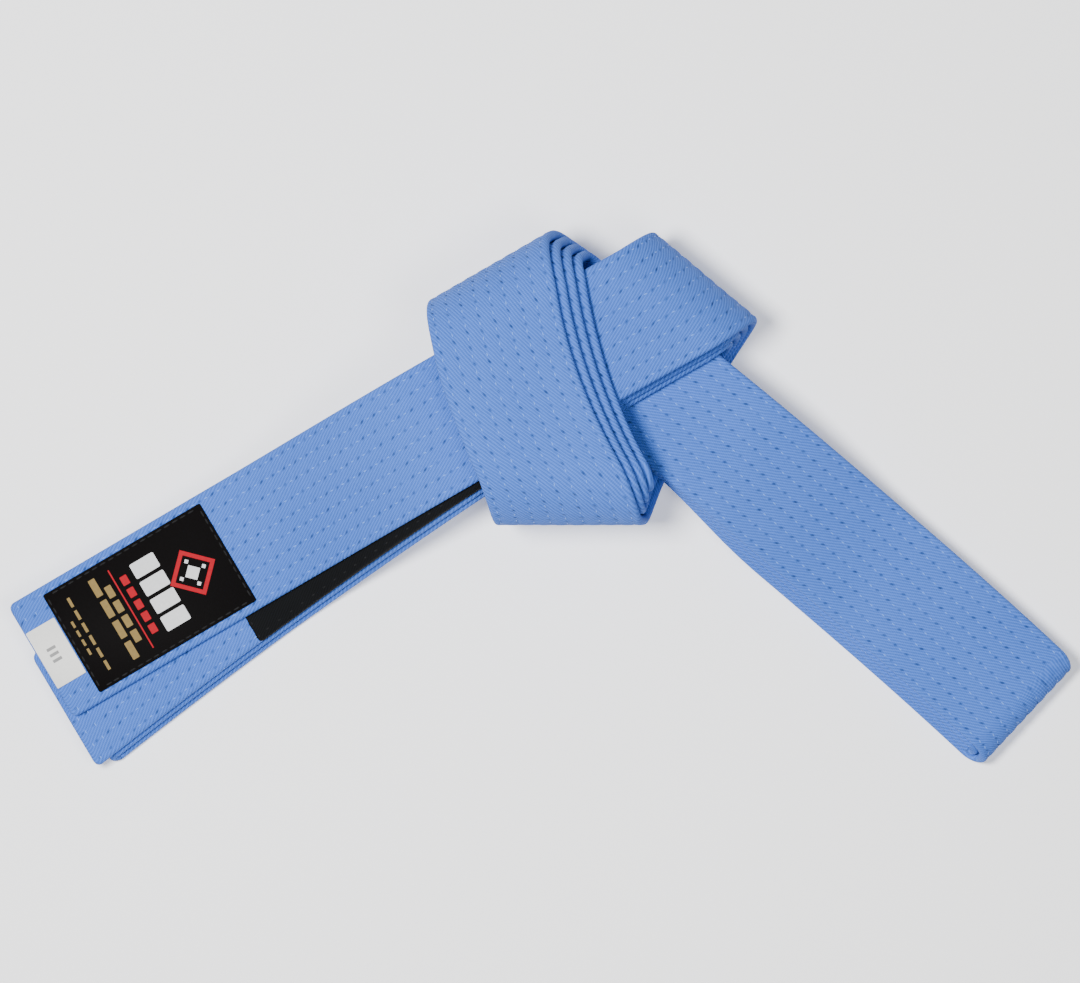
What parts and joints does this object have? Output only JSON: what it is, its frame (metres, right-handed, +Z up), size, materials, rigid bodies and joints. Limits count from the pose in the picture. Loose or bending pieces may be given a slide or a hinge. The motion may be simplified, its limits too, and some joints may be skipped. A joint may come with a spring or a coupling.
{
  "type": "martial arts belt",
  "caption": "Blue quilted cotton martial arts belt, folded and tied in a flat overhand knot, with a black rank sleeve and a woven label.",
  "frame": {"origin": "on the table, under the middle of the strand that crosses the underside of the knot", "axes": "+Z up from the table, +X towards the doubled right arm's side, +Y towards the upper fold of the knot"},
  "size_m": [0.3683, 0.1859, 0.0629],
  "materials": {
    "blue_twill": "matte",
    "wadding": "matte",
    "blue_thread": "matte",
    "sleeve_cloth": "matte",
    "black_thread": "matte",
    "label_cloth": "matte",
    "tag_cloth": "matte"
  },
  "bodies": {
    "knot": {"front_wrap_quilting": "blue_thread", "knot_arm_quilting": "blue_thread", "knot_bight_pass_core": "wadding", "knot_bight_pass_cover": "blue_twill", "knot_inner_pass_core": "wadding", "knot_inner_pass_cover": "blue_twill", "knot_label_pass_core": "wadding", "knot_label_pass_cover": "blue_twill", "knot_rank_pass_core": "wadding", "knot_rank_pass_cover": "blue_twill", "rank_sleeve_in_knot": "sleeve_cloth"},
    "left_bight": {"left_bight_core": "wadding", "left_bight_cover": "blue_twill", "rank_pass_first_core": "wadding", "rank_pass_first_cover": "blue_twill", "rank_sleeve_first": "sleeve_cloth", "label_pass_first_core": "wadding", "label_pass_first_cover": "blue_twill"},
    "rank_end": {"rank_end_core": "wadding", "rank_end_cover": "blue_twill", "rank_end_quilting": "blue_thread", "rank_end_stitching": "blue_thread", "rank_sleeve": "sleeve_cloth", "rank_sleeve_stitching": "black_thread", "label_pass_second_core": "wadding", "label_pass_second_cover": "blue_twill"},
    "label_end": {"label_end_core": "wadding", "label_end_cover": "blue_twill", "label_end_quilting": "blue_thread", "label_end_stitching": "blue_thread", "woven_label": "label_cloth", "woven_label_stitching": "black_thread"},
    "size_tag": {"size_tag": "tag_cloth"},
    "right_tail": {"right_outer_loop_core": "wadding", "right_outer_loop_cover": "blue_twill", "right_inner_loop_core": "wadding", "right_inner_loop_cover": "blue_twill", "right_tail_quilting": "blue_thread"}
  },
  "joints": [
    {"name": "left_arm_lift", "type": "hinge", "parent": "knot", "child": "left_bight", "pos_m": [-0.06926, -0.0135, 0.04643], "axis": [-0.4923, 0.8704, 0], "range_deg": [0, 20]},
    {"name": "rank_end_lift", "type": "hinge", "parent": "left_bight", "child": "rank_end", "pos_m": [-0.08099, -0.02024, 0.04328], "axis": [-0.4934, 0.8698, 0], "range_deg": [0, 25]},
    {"name": "label_end_lift", "type": "hinge", "parent": "rank_end", "child": "label_end", "pos_m": [-0.09219, -0.0267, 0.03778], "axis": [-0.4945, 0.8692, 0], "range_deg": [0, 60]},
    {"name": "size_tag_flap", "type": "hinge", "parent": "label_end", "child": "size_tag", "pos_m": [-0.19965, -0.08966, 0.0155], "axis": [-0.5075, 0.8616, 0], "range_deg": [0, 115]},
    {"name": "right_tail_lift", "type": "hinge", "parent": "knot", "child": "right_tail", "pos_m": [0.0262, -0.0201, 0.03083], "axis": [-0.6448, -0.7643, 0], "range_deg": [0, 30]}
  ]
}
